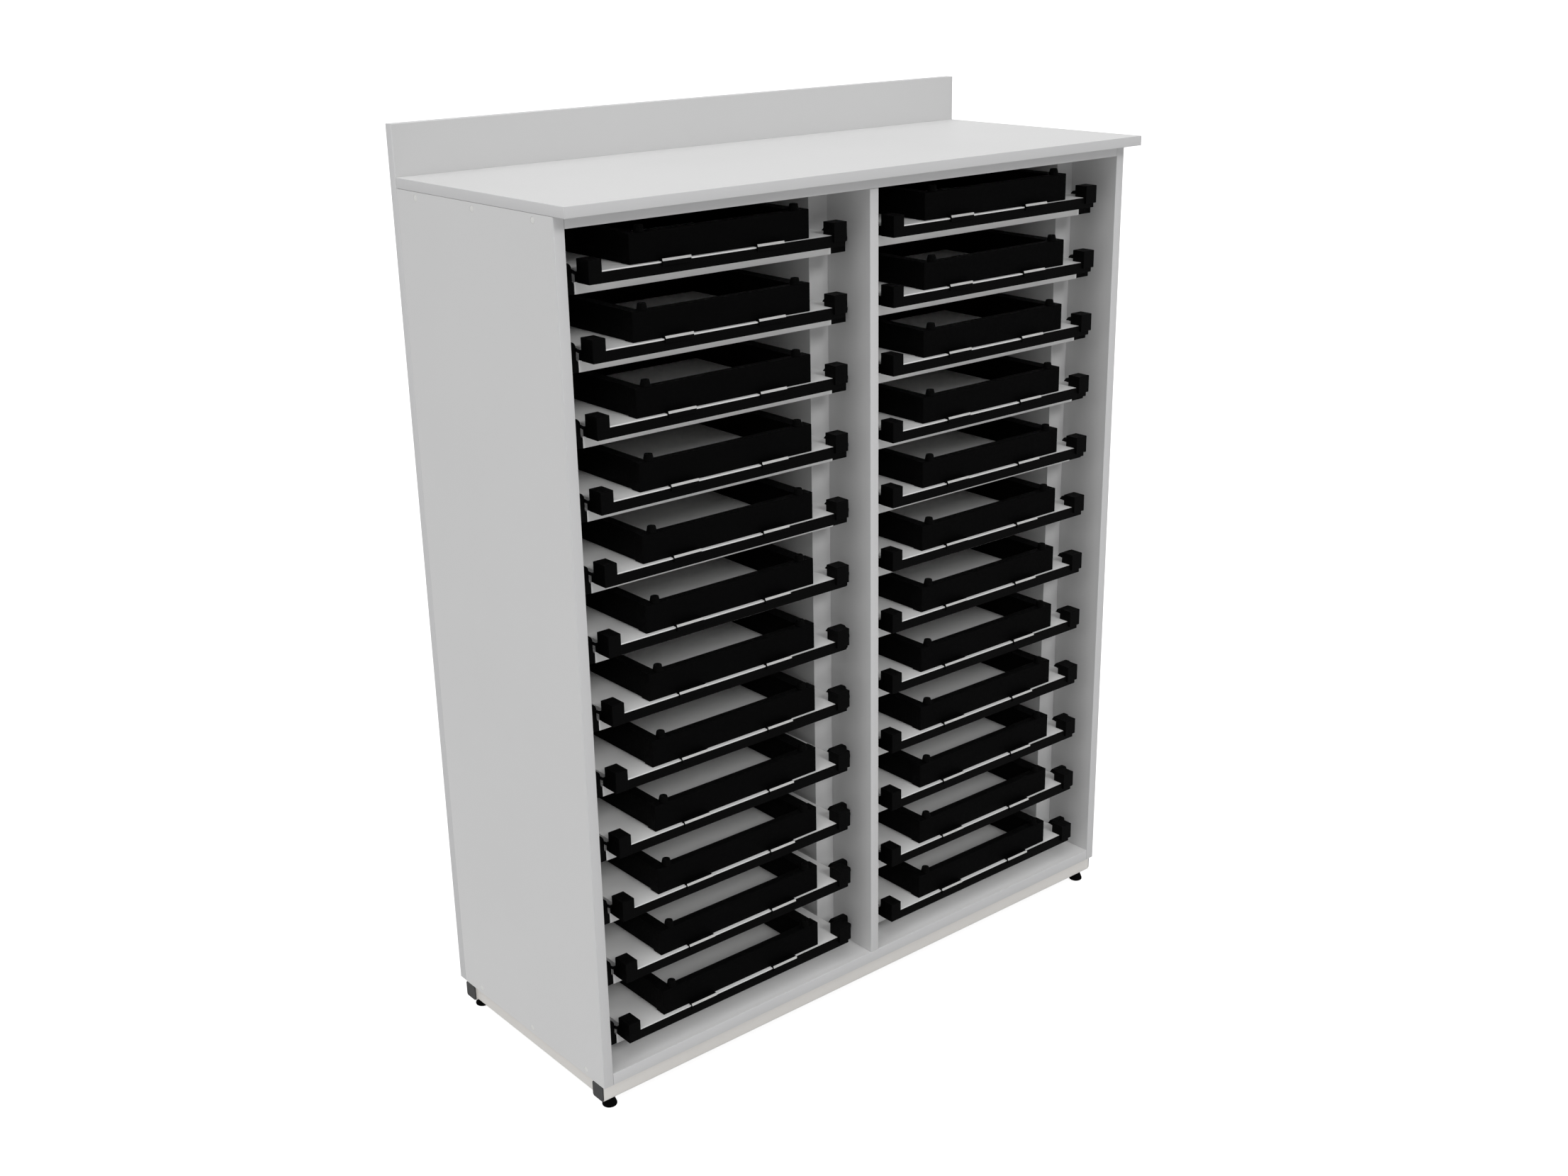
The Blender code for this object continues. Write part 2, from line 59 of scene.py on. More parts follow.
# Bench tools: one object at a time is selected, and its place ends up in its mesh
quarterTurn = {"X": (0, math.pi / 2, 0), "Y": (math.pi / 2, 0, 0), "Z": (0, 0, 0)}
upright = 0.9  # a face counts as facing a way from this share of its normal on
leaning = 0.5  # the same for a face that leans
hair = 0.00001  # two places nearer than this are one
creaseAngle = 32.0  # edges sharper than this, in degrees, are softened or stay sharp


def deselectAll():
    bpy.ops.object.select_all(action="DESELECT")


def takeUp(piece):
    deselectAll()
    piece.select_set(True)
    bpy.context.view_layer.objects.active = piece


def settle(name):
    piece = bpy.context.object
    piece.name = name
    bpy.ops.object.transform_apply(location=True, rotation=True, scale=True)
    return piece


def addBlock(name, low, high):
    deselectAll()
    low, high = Vector(low), Vector(high)
    bpy.ops.mesh.primitive_cube_add(size=1, location=(low + high) / 2, scale=high - low)
    return settle(name)


def addRound(name, middle, radius, length, sides, axis="Z"):
    deselectAll()
    bpy.ops.mesh.primitive_cylinder_add(
        vertices=sides, radius=radius, depth=length, location=middle, rotation=quarterTurn[axis]
    )
    return settle(name)


def openEdit(piece, kind="FACE"):
    takeUp(piece)
    bpy.ops.object.mode_set(mode="EDIT")
    bpy.ops.mesh.select_mode(type=kind)
    bpy.ops.mesh.select_all(action="DESELECT")


def closeEdit():
    bpy.ops.object.mode_set(mode="OBJECT")


def pickFaces(piece, wanted):
    bpy.ops.mesh.select_all(action="DESELECT")
    shape = bmesh.from_edit_mesh(piece.data)
    for face in shape.faces:
        if wanted(face.calc_center_median(), face.normal):
            face.select_set(True)
    bmesh.update_edit_mesh(piece.data)


def pickEdges(piece, wanted):
    bpy.ops.mesh.select_all(action="DESELECT")
    shape = bmesh.from_edit_mesh(piece.data)
    for edge in shape.edges:
        if wanted(edge.verts[0].co, edge.verts[1].co):
            edge.select_set(True)
    bmesh.update_edit_mesh(piece.data)


def pushOut(*shift):
    bpy.ops.mesh.extrude_region_move(TRANSFORM_OT_translate={"value": shift})


def roundEdges(piece, wanted, radius, steps):
    openEdit(piece, "EDGE")
    pickEdges(piece, wanted)
    bpy.ops.mesh.bevel(offset=radius, segments=steps, profile=0.5, affect="EDGES")
    closeEdit()


def runsAlong(axis):
    others = [i for i in range(3) if i != axis]
    return lambda a, b: all(abs(a[i] - b[i]) < hair for i in others)


def cutAway(piece, cutter, operation="DIFFERENCE"):
    takeUp(piece)
    step = piece.modifiers.new("cut", "BOOLEAN")
    step.operation = operation
    step.object = cutter
    bpy.ops.object.modifier_apply(modifier=step.name)
    bpy.data.objects.remove(cutter, do_unlink=True)


def shadeRound(piece):
    takeUp(piece)
    bpy.ops.object.shade_smooth_by_angle(angle=math.radians(creaseAngle))
    return piece


def soften(piece, radius, steps=3):
    takeUp(piece)
    edge = piece.modifiers.new("soften", "BEVEL")
    edge.width = radius
    edge.segments = steps
    edge.limit_method = "ANGLE"
    edge.angle_limit = math.radians(creaseAngle)
    bpy.ops.object.modifier_apply(modifier=edge.name)
    shadeRound(piece)
    flat = piece.modifiers.new("flat", "WEIGHTED_NORMAL")
    flat.keep_sharp = True
    bpy.ops.object.modifier_apply(modifier=flat.name)
    return piece


def repeat(piece, count, shift):
    takeUp(piece)
    row = piece.modifiers.new("row", "ARRAY")
    row.count = count
    row.use_relative_offset = False
    row.use_constant_offset = True
    row.constant_offset_displace = shift
    bpy.ops.object.modifier_apply(modifier=row.name)
    return piece


def twin(piece, name, shift):
    made = piece.copy()
    made.data = piece.data.copy()
    made.name = name
    made.data.transform(Matrix.Translation(shift))
    bpy.context.scene.collection.objects.link(made)
    return made


def joinUp(name, pieces):
    deselectAll()
    for piece in pieces:
        piece.select_set(True)
    bpy.context.view_layer.objects.active = pieces[0]
    bpy.ops.object.join()
    pieces[0].name = name
    return pieces[0]


def finishAs(piece, finish):
    piece.data.materials.clear()
    piece.data.materials.append(finish)
    return piece


def fit(piece, body, slot, *nodes):
    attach(piece, body)
    if nodes:
        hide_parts(*nodes)


# Shared surface effects
def startGroup(name, takes, gives):
    group = bpy.data.node_groups.new(name, "ShaderNodeTree")
    for label, kind in takes:
        group.interface.new_socket(name=label, in_out="INPUT", socket_type="NodeSocket" + kind)
    for label, kind in gives:
        group.interface.new_socket(name=label, in_out="OUTPUT", socket_type="NodeSocket" + kind)
    return group, group.nodes.new("NodeGroupInput"), group.nodes.new("NodeGroupOutput")


def addMath(tree, what, a, b):
    node = tree.nodes.new("ShaderNodeMath")
    node.operation = what
    for socket, value in zip(node.inputs, (a, b)):
        if isinstance(value, (int, float)):
            socket.default_value = value
        else:
            tree.links.new(value, socket)
    return node.outputs[0]


def addNoise(tree, scale, detail, roughness=0.5):
    place = tree.nodes.new("ShaderNodeTexCoord")
    noise = tree.nodes.new("ShaderNodeTexNoise")
    noise.inputs["Detail"].default_value = detail
    noise.inputs["Roughness"].default_value = roughness
    tree.links.new(place.outputs["Object"], noise.inputs["Vector"])
    tree.links.new(scale, noise.inputs["Scale"])
    return noise.outputs["Fac"]


def addSpread(tree, value, low, high, fromLow=0.3, fromHigh=0.7):
    node = tree.nodes.new("ShaderNodeMapRange")
    node.inputs["From Min"].default_value = fromLow
    node.inputs["From Max"].default_value = fromHigh
    tree.links.new(value, node.inputs["Value"])
    for label, end in (("To Min", low), ("To Max", high)):
        if isinstance(end, (int, float)):
            node.inputs[label].default_value = end
        else:
            tree.links.new(end, node.inputs[label])
    return node.outputs["Result"]


mixSockets = {"first": 6, "second": 7, "result": 2}  # where a Mix node keeps its colours


def addBlend(tree, factor, a, b, kind="MIX"):
    node = tree.nodes.new("ShaderNodeMix")
    node.data_type = "RGBA"
    node.blend_type = kind
    if isinstance(factor, (int, float)):
        node.inputs["Factor"].default_value = factor
    else:
        tree.links.new(factor, node.inputs["Factor"])
    tree.links.new(a, node.inputs[mixSockets["first"]])
    tree.links.new(b, node.inputs[mixSockets["second"]])
    return node.outputs[mixSockets["result"]]


skinMix = {
    "fine": 0.7, "fineDetail": 4, "fineCrisp": 0.6,
    "coarse": 0.3, "coarseDetail": 3, "coarseScale": 0.17,
}
driftDetail = 3
dustFilm = {"upFrom": 0.6, "thinnest": 0.25, "detail": 5, "crisp": 0.65}


def makeSurfaceSkin():  # fine relief and the gloss that goes with it
    group, entry, leave = startGroup(
        "surfaceSkin",
        (("Scale", "Float"), ("Glossy", "Float"), ("Matt", "Float")),
        (("Roughness", "Float"), ("Height", "Float")),
    )
    fine = addNoise(group, entry.outputs["Scale"], skinMix["fineDetail"], skinMix["fineCrisp"])
    coarseScale = addMath(group, "MULTIPLY", entry.outputs["Scale"], skinMix["coarseScale"])
    coarse = addNoise(group, coarseScale, skinMix["coarseDetail"])
    small = addMath(group, "MULTIPLY", fine, skinMix["fine"])
    large = addMath(group, "MULTIPLY", coarse, skinMix["coarse"])
    relief = addMath(group, "ADD", small, large)
    gloss = addSpread(group, coarse, entry.outputs["Glossy"], entry.outputs["Matt"])
    group.links.new(gloss, leave.inputs["Roughness"])
    group.links.new(relief, leave.inputs["Height"])
    return group


def makeToneDrift():  # slow unevenness of colour over a whole panel
    group, entry, leave = startGroup(
        "toneDrift",
        (("Colour", "Color"), ("Drift", "Float"), ("Scale", "Float")),
        (("Colour", "Color"),),
    )
    cloud = addNoise(group, entry.outputs["Scale"], driftDetail)
    darkest = addMath(group, "SUBTRACT", 1.0, entry.outputs["Drift"])
    lightest = addMath(group, "ADD", 1.0, entry.outputs["Drift"])
    shade = addSpread(group, cloud, darkest, lightest)
    mixed = addBlend(group, 1.0, entry.outputs["Colour"], shade, "MULTIPLY")
    group.links.new(mixed, leave.inputs["Colour"])
    return group


def makeSettledDust():  # a thin pale film on faces that look up
    group, entry, leave = startGroup(
        "settledDust",
        (("Colour", "Color"), ("Dust", "Color"), ("Amount", "Float"), ("Scale", "Float")),
        (("Colour", "Color"),),
    )
    facing = group.nodes.new("ShaderNodeNewGeometry")
    split = group.nodes.new("ShaderNodeSeparateXYZ")
    group.links.new(facing.outputs["Normal"], split.inputs["Vector"])
    up = addSpread(group, split.outputs["Z"], 0.0, 1.0, dustFilm["upFrom"], 1.0)
    cloud = addNoise(group, entry.outputs["Scale"], dustFilm["detail"], dustFilm["crisp"])
    patchy = addSpread(group, cloud, dustFilm["thinnest"], 1.0)
    film = addMath(group, "MULTIPLY", addMath(group, "MULTIPLY", up, patchy), entry.outputs["Amount"])
    mixed = addBlend(group, film, entry.outputs["Colour"], entry.outputs["Dust"])
    group.links.new(mixed, leave.inputs["Colour"])
    return group


surfaceSkin = makeSurfaceSkin()
toneDrift = makeToneDrift()
settledDust = makeSettledDust()


def placeGroup(tree, group, values):
    node = tree.nodes.new("ShaderNodeGroup")
    node.node_tree = group
    for label, value in values.items():
        node.inputs[label].default_value = value
    return node


def makeFinish(name, look):
    finish = bpy.data.materials.new(name)
    finish.use_nodes = True
    tree = finish.node_tree
    shader = tree.nodes["Principled BSDF"]
    tone = placeGroup(tree, toneDrift, {
        "Colour": (*look["colour"], 1), "Drift": look["drift"], "Scale": look["driftScale"],
    })
    dust = placeGroup(tree, settledDust, {
        "Dust": (*look["dustColour"], 1), "Amount": look["dust"], "Scale": look["dustScale"],
    })
    skin = placeGroup(tree, surfaceSkin, {
        "Scale": look["skinScale"], "Glossy": look["glossy"], "Matt": look["matt"],
    })
    bump = tree.nodes.new("ShaderNodeBump")
    bump.inputs["Strength"].default_value = look["bump"]
    bump.inputs["Distance"].default_value = look["relief"]
    tree.links.new(tone.outputs["Colour"], dust.inputs["Colour"])
    tree.links.new(dust.outputs["Colour"], shader.inputs["Base Color"])
    tree.links.new(skin.outputs["Roughness"], shader.inputs["Roughness"])
    tree.links.new(skin.outputs["Height"], bump.inputs["Height"])
    tree.links.new(bump.outputs["Normal"], shader.inputs["Normal"])
    shader.inputs["Specular IOR Level"].default_value = look["shine"]
    shader.inputs["Metallic"].default_value = look.get("metal", 0.0)
    return finish


whiteDust = (0.62, 0.61, 0.59)
greyDust = (0.05, 0.05, 0.05)
melamine = makeFinish("melamine", {
    "colour": (0.79, 0.79, 0.79), "drift": 0.012, "driftScale": 3.0,
    "dustColour": whiteDust, "dust": 0.04, "dustScale": 60,
    "skinScale": 1500, "glossy": 0.40, "matt": 0.52, "relief": 0.00004, "bump": 0.25, "shine": 0.35,
})
# painted shade: the back panel's melamine is the sides' melamine painted darker, standing in for the shade
# deep inside the bays
backMelaminePaintedShade = makeFinish("backMelaminePaintedShade", {
    "colour": (0.71, 0.71, 0.71), "drift": 0.012, "driftScale": 3.0,
    "dustColour": whiteDust, "dust": 0.04, "dustScale": 60,
    "skinScale": 1500, "glossy": 0.42, "matt": 0.54, "relief": 0.00004, "bump": 0.25, "shine": 0.35,
})
edging = makeFinish("edging", {
    "colour": (0.72, 0.72, 0.725), "drift": 0.010, "driftScale": 5.0,
    "dustColour": whiteDust, "dust": 0.03, "dustScale": 80,
    "skinScale": 900, "glossy": 0.34, "matt": 0.44, "relief": 0.00002, "bump": 0.20, "shine": 0.40,
})
boardLaminate = makeFinish("boardLaminate", {
    "colour": (0.90, 0.90, 0.895), "drift": 0.010, "driftScale": 6.0,
    "dustColour": whiteDust, "dust": 0.03, "dustScale": 90,
    "skinScale": 2200, "glossy": 0.36, "matt": 0.46, "relief": 0.00003, "bump": 0.20, "shine": 0.35,
})
blackMoulding = makeFinish("blackMoulding", {
    "colour": (0.0014, 0.0014, 0.0015), "drift": 0.10, "driftScale": 18.0,
    "dustColour": greyDust, "dust": 0.015, "dustScale": 140,
    "skinScale": 1800, "glossy": 0.50, "matt": 0.64, "relief": 0.00006, "bump": 0.35, "shine": 0.05,
})
blackFrame = makeFinish("blackFrame", {
    "colour": (0.0012, 0.0012, 0.0013), "drift": 0.10, "driftScale": 12.0,
    "dustColour": greyDust, "dust": 0.018, "dustScale": 110,
    "skinScale": 1300, "glossy": 0.55, "matt": 0.70, "relief": 0.00008, "bump": 0.40, "shine": 0.04,
})
blackRubber = makeFinish("blackRubber", {
    "colour": (0.0018, 0.0018, 0.0018), "drift": 0.15, "driftScale": 60.0,
    "dustColour": greyDust, "dust": 0.03, "dustScale": 260,
    "skinScale": 2600, "glossy": 0.72, "matt": 0.88, "relief": 0.00006, "bump": 0.45, "shine": 0.05,
})
powderCoat = makeFinish("powderCoat", {
    "colour": (0.900, 0.875, 0.840), "drift": 0.012, "driftScale": 8.0,
    "dustColour": whiteDust, "dust": 0.04, "dustScale": 90,
    "skinScale": 520, "glossy": 0.34, "matt": 0.46, "relief": 0.00010, "bump": 0.30, "shine": 0.45,
})
capPlastic = makeFinish("capPlastic", {
    "colour": (0.060, 0.060, 0.061), "drift": 0.06, "driftScale": 70.0,
    "dustColour": greyDust, "dust": 0.05, "dustScale": 260,
    "skinScale": 1700, "glossy": 0.48, "matt": 0.60, "relief": 0.00006, "bump": 0.35, "shine": 0.35,
})
coverPlastic = makeFinish("coverPlastic", {
    "colour": (0.86, 0.86, 0.84), "drift": 0.010, "driftScale": 80.0,
    "dustColour": whiteDust, "dust": 0.02, "dustScale": 300,
    "skinScale": 1900, "glossy": 0.28, "matt": 0.36, "relief": 0.00002, "bump": 0.20, "shine": 0.45,
})
gripPlastic = makeFinish("gripPlastic", {
    "colour": (0.66, 0.66, 0.65), "drift": 0.015, "driftScale": 60.0,
    "dustColour": whiteDust, "dust": 0.03, "dustScale": 300,
    "skinScale": 1600, "glossy": 0.38, "matt": 0.50, "relief": 0.00003, "bump": 0.25, "shine": 0.35,
})
zincScrew = makeFinish("zincScrew", {
    "colour": (0.56, 0.56, 0.57), "drift": 0.08, "driftScale": 150.0,
    "dustColour": greyDust, "dust": 0.05, "dustScale": 400,
    "skinScale": 2400, "glossy": 0.28, "matt": 0.42, "relief": 0.00005, "bump": 0.30, "shine": 0.5,
    "metal": 1.0,
})
print("finishes mixed:", len(bpy.data.materials))

# Cabinet: where its panels lie
wall = {"thickness": 0.018, "edging": 0.001, "edgingRound": 0.0008, "edgingSteps": 3, "coreRound": 0.00018}
topLow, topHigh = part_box("top_panel")
bottomLow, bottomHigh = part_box("bottom_panel")
backLow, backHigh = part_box("back_panel")
worktopLow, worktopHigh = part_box("worktop")
partitionLow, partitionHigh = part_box("centre_partition")
leftLow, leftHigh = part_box("left_side_panel")
rightLow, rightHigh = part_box("right_side_panel")
edgeWays = {"left": (0, 0), "right": (0, 1), "front": (1, 0), "top": (2, 1)}


# A faced board with glued-on edging strips, the core set in by their thickness
def facedPanel(name, low, high, edged, holes=(), facing=melamine):
    ends = [Vector(low), Vector(high)]
    strips = []
    for way in edged:
        axis, end = edgeWays[way]
        inside = ends[end][axis] + wall["edging"] * (1 - 2 * end)
        corners = [ends[0].copy(), ends[1].copy()]
        corners[1 - end][axis] = inside
        outside = ends[end][axis]
        strip = addBlock(f"{name}Strip", *corners)
        roundEdges(
            strip,
            lambda a, b: abs(a[axis] - outside) < hair and abs(b[axis] - outside) < hair,
            wall["edgingRound"],
            wall["edgingSteps"],
        )
        strips.append(finishAs(shadeRound(strip), edging))
        ends[end][axis] = inside
    core = addBlock(name, *ends)
    for hole in holes:
        cutAway(core, hole())
    soften(core, wall["coreRound"], steps=2)
    return joinUp(name, [finishAs(core, facing), *strips])


# Screw covers sit flush in shallow counterbores
cover = {
    "radius": 0.0050, "bore": 0.0051, "deep": 0.0014, "dome": 0.0006, "domeSteps": 4, "under": 0.00005,
    "sides": 40,
}


def makeCover(name, spot, axis, out):
    middle = Vector(spot)
    middle[axis] -= out * (cover["deep"] / 2 + cover["under"] / 2)
    length = cover["deep"] - cover["under"]
    made = addRound(name, middle, cover["radius"], length, cover["sides"], "XYZ"[axis])
    rim = spot[axis] - out * cover["under"]
    roundEdges(
        made,
        lambda a, b: abs(a[axis] - rim) < hair and abs(b[axis] - rim) < hair,
        cover["dome"],
        cover["domeSteps"],
    )
    return finishAs(shadeRound(made), coverPlastic)


def counterbore(spot, axis):
    return lambda: addRound("bore", spot, cover["bore"], 2 * cover["deep"], cover["sides"], "XYZ"[axis])


sideCovers = {"fromFront": (0.0525, 0.2153, 0.3807), "fromTop": 0.0093, "fromBottom": 0.0107}
sideSpots = [
    (leftLow.y + back, z)
    for z in (leftHigh.z - sideCovers["fromTop"], leftLow.z + sideCovers["fromBottom"])
    for back in sideCovers["fromFront"]
]
leftSpots = [Vector((leftLow.x, y, z)) for y, z in sideSpots]
rightSpots = [Vector((rightHigh.x, y, z)) for y, z in sideSpots]

leftPanel = facedPanel(
    "leftSidePanel", leftLow, (leftLow.x + wall["thickness"], leftHigh.y, leftHigh.z), ("front",),
    [counterbore(spot, 0) for spot in leftSpots],
)
fit(leftPanel, "cabinet", "white_panel", "left_side_panel")
rightPanel = facedPanel(
    "rightSidePanel", (rightHigh.x - wall["thickness"], rightLow.y, rightLow.z), rightHigh, ("front",),
    [counterbore(spot, 0) for spot in rightSpots],
)
fit(rightPanel, "cabinet", "white_panel", "right_side_panel")
partitionX = (partitionLow.x + partitionHigh.x) / 2
partition = facedPanel(
    "centrePartition",
    (partitionX - wall["thickness"] / 2, partitionLow.y, partitionLow.z),
    (partitionX + wall["thickness"] / 2, partitionHigh.y, partitionHigh.z),
    ("front",),
)
fit(partition, "cabinet", "white_panel", "centre_partition")
fit(facedPanel("topPanel", topLow, topHigh, ("front",)), "cabinet", "white_panel", "top_panel")
fit(facedPanel("bottomPanel", bottomLow, bottomHigh, ("front",)), "cabinet", "white_panel", "bottom_panel")
worktop = facedPanel("worktopPanel", worktopLow, worktopHigh, ("left", "right", "front"))
fit(worktop, "cabinet", "white_panel", "worktop")

backCovers = {"rows": 4, "fromEnds": 0.070}
backStep = (leftHigh.z - leftLow.z - 2 * backCovers["fromEnds"]) / (backCovers["rows"] - 1)
backSpots = [
    Vector((x, backHigh.y, leftLow.z + backCovers["fromEnds"] + row * backStep))
    for x in (leftLow.x + wall["thickness"] / 2, partitionX, rightHigh.x - wall["thickness"] / 2)
    for row in range(backCovers["rows"])
]
# the back panel wears the darker melamine copy, painted shade for the inside of the bays
backPanel = facedPanel(
    "backPanel", backLow, backHigh, ("left", "right", "top"),
    [counterbore(spot, 1) for spot in backSpots], backMelaminePaintedShade,
)
fit(backPanel, "cabinet", "white_panel", "back_panel")
for name, spots, axis, out in (
    ("leftScrewCovers", leftSpots, 0, -1),
    ("rightScrewCovers", rightSpots, 0, 1),
    ("backScrewCovers", backSpots, 1, 1),
):
    covers = joinUp(name, [makeCover(name, spot, axis, out) for spot in spots])
    fit(covers, "cabinet", "white_panel")
print("panels faced and edged")

# Wall linings with the ledges that carry the boards
rack = {
    "lining": 0.040, "setback": 0.102, "rearGap": 0.020, "endGap": 0.0006, "liningRound": 0.0006,
    "reach": 0.0095, "height": 0.010, "setIn": 0.004, "seat": 0.0003, "noseRound": 0.003, "noseSteps": 4,
    "ledgeRound": 0.0006,
}
rowsPerBay = 12
rowNames = [f"{row:02d}" for row in range(1, rowsPerBay + 1)]


def makeRack(name, face, inward, bay):
    def across(a, b):
        return sorted((face + inward * a, face + inward * b))

    front, rear = leftLow.y + rack["setback"], leftHigh.y - rack["rearGap"]
    x = across(0.0, rack["lining"])
    lining = addBlock(
        name, (x[0], front, bottomHigh.z + rack["endGap"]), (x[1], rear, topLow.z - rack["endGap"])
    )
    soften(lining, rack["liningRound"], steps=2)
    x = across(rack["lining"], rack["lining"] + rack["reach"])
    seats = [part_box(f"drawing_board_{bay}{row}")[0].z - rack["seat"] for row in rowNames]
    lowest = min(seats)
    ledge = addBlock(
        "ledge",
        (x[0], front + rack["setIn"], lowest - rack["height"]),
        (x[1], rear - rack["setIn"], lowest),
    )
    nose = face + inward * (rack["lining"] + rack["reach"])
    roundEdges(
        ledge,
        lambda a, b: abs(a.x - nose) < hair and abs(b.x - nose) < hair and abs(a.y - b.y) < hair,
        rack["noseRound"],
        rack["noseSteps"],
    )
    soften(ledge, rack["ledgeRound"], steps=2)
    repeat(ledge, len(seats), (0, 0, (max(seats) - lowest) / (len(seats) - 1)))
    return joinUp(name, [finishAs(lining, melamine), finishAs(ledge, edging)])


halfWall = wall["thickness"] / 2
for name, face, inward, bay in (
    ("leftBayOuterRack", leftLow.x + wall["thickness"], 1, "L"),
    ("leftBayInnerRack", partitionX - halfWall, -1, "L"),
    ("rightBayInnerRack", partitionX + halfWall, 1, "R"),
    ("rightBayOuterRack", rightHigh.x - wall["thickness"], -1, "R"),
):
    fit(makeRack(name, face, inward, bay), "cabinet", "white_panel")
print("runner racks up")

# Welded base of square tube
base = {
    "tube": 0.030, "wall": 0.002, "corner": 0.004, "cornerSteps": 5, "cap": 0.003, "capStep": 0.0008,
    "sideInset": 0.006, "weldStep": 0.0001,
}
baseLow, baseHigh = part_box("base_frame")


def makeTube(name, low, high, axis):
    tube = addBlock(name, low, high)
    ends = (low[axis], high[axis])
    roundEdges(tube, runsAlong(axis), base["corner"], base["cornerSteps"])
    openEdit(tube)
    pickFaces(
        tube,
        lambda spot, way: abs(way[axis]) > upright and min(abs(spot[axis] - end) for end in ends) < hair,
    )
    bpy.ops.mesh.inset(thickness=base["wall"], use_boundary=True)
    bpy.ops.mesh.bridge_edge_loops()
    closeEdit()
    return finishAs(shadeRound(tube), powderCoat)


frontLow = Vector((baseLow.x + base["cap"], baseLow.y, baseLow.z))
frontHigh = Vector((baseHigh.x - base["cap"], baseLow.y + base["tube"], baseHigh.z))
rearShift = Vector((0, baseHigh.y - base["tube"] - baseLow.y, 0))
frontTube = makeTube("frontTube", frontLow, frontHigh, 0)
rearTube = twin(frontTube, "rearTube", rearShift)
sideDrop = Vector((0, 0, base["weldStep"]))
sideLow = Vector((baseLow.x + base["sideInset"], frontHigh.y, baseLow.z)) + sideDrop
sideHigh = Vector((sideLow.x + base["tube"], baseHigh.y - base["tube"], baseHigh.z)) - sideDrop
leftTube = makeTube("leftTube", sideLow, sideHigh, 1)
rightTube = twin(leftTube, "rightTube", (baseHigh.x - base["sideInset"] - sideHigh.x, 0, 0))
for tube in (frontTube, rearTube, leftTube, rightTube):
    fit(tube, "cabinet", "beige_metal")
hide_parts("base_frame")

# Push-in end caps
cap = {"round": 0.0040, "roundSteps": 5, "faceRound": 0.0008, "border": 0.0026, "dish": 0.0004}
capLow = Vector((baseLow.x, baseLow.y + base["capStep"], baseLow.z + base["capStep"]))
capHigh = Vector((frontLow.x, frontHigh.y - base["capStep"], baseHigh.z - base["capStep"]))


def makeCap(name, low, high, out):
    made = addBlock(name, low, high)
    roundEdges(made, runsAlong(0), cap["round"], cap["roundSteps"])
    openEdit(made)
    pickFaces(made, lambda spot, way: way.x * out > upright)
    bpy.ops.mesh.inset(thickness=cap["border"])
    bpy.ops.transform.translate(value=(-out * cap["dish"], 0, 0))
    closeEdit()
    soften(made, cap["faceRound"])
    return finishAs(made, capPlastic)


leftCap = makeCap("frontLeftCap", capLow, capHigh, -1)
capAcross = Vector((baseHigh.x - capHigh.x, 0, 0))
rightCap = makeCap("frontRightCap", capLow + capAcross, capHigh + capAcross, 1)
for made, rearName in ((leftCap, "rearLeftCap"), (rightCap, "rearRightCap")):
    fit(made, "cabinet", "foot_plastic")
    fit(twin(made, rearName, rearShift), "cabinet", "foot_plastic")

# Levelling feet: a moulded cone on a threaded stem
foot = {
    "radius": 0.0125, "height": 0.019, "rim": 0.003, "neck": 0.0065, "rimRound": 0.0016, "sides": 48,
    "stem": 0.004, "stemLength": 0.022, "stemSides": 24, "threads": 11, "thread": 0.0005,
}


def makeFoot(name, node):
    low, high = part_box(node)
    x, y = (low.x + high.x) / 2, (low.y + high.y) / 2
    cone = addRound(name, (x, y, low.z + foot["rim"] / 2), foot["radius"], foot["rim"], foot["sides"])
    openEdit(cone)
    pickFaces(cone, lambda spot, way: way.z > upright)
    pushOut(0, 0, foot["height"] - foot["rim"])
    bpy.ops.transform.resize(value=(foot["neck"] / foot["radius"],) * 2 + (1,))
    closeEdit()
    soften(cone, foot["rimRound"], steps=4)
    stemLow = low.z + foot["height"]
    pitch = foot["stemLength"] / foot["threads"]
    stem = addRound("stem", (x, y, stemLow + pitch / 4), foot["stem"], pitch / 2, foot["stemSides"])
    openEdit(stem)
    pickFaces(stem, lambda spot, way: way.z > upright)
    shrink = (foot["stem"] - foot["thread"]) / foot["stem"]
    for turn in range(1, 2 * foot["threads"] - 1):
        pushOut(0, 0, pitch / 2)
        grow = shrink if turn % 2 else 1 / shrink
        bpy.ops.transform.resize(value=(grow, grow, 1))
    closeEdit()
    return joinUp(name, [finishAs(cone, blackRubber), finishAs(shadeRound(stem), zincScrew)])


for corner in ("front_left", "front_right", "rear_left", "rear_right"):
    end, side = corner.split("_")
    node = f"foot_{corner}"
    fit(makeFoot(f"{end}{side.title()}Foot", node), "cabinet", "foot_plastic", node)
print("base welded, caps and feet in")

# One drawing board, modelled in place at the top of the left bay
board = {
    "width": 0.472, "depth": 0.394, "thickness": 0.018, "edgeRound": 0.0004,
    "baseStep": 0.006, "baseSetback": 0.036, "baseThickness": 0.018, "clear": 0.0001,
}
firstLow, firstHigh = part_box("drawing_board_L01")
boardOrigin = Vector((
    (firstLow.x + firstHigh.x) / 2,
    firstHigh.y - board["depth"],
    firstLow.z + board["thickness"] + board["baseThickness"],
))
halfBoard = board["width"] / 2
halfBase = halfBoard + board["baseStep"]


def onBoard(x, y, z):
    return boardOrigin + Vector((x, y, z))


def boardBlock(name, x, y, z):
    x, y, z = sorted(x), sorted(y), sorted(z)
    return addBlock(name, onBoard(x[0], y[0], z[0]), onBoard(x[1], y[1], z[1]))


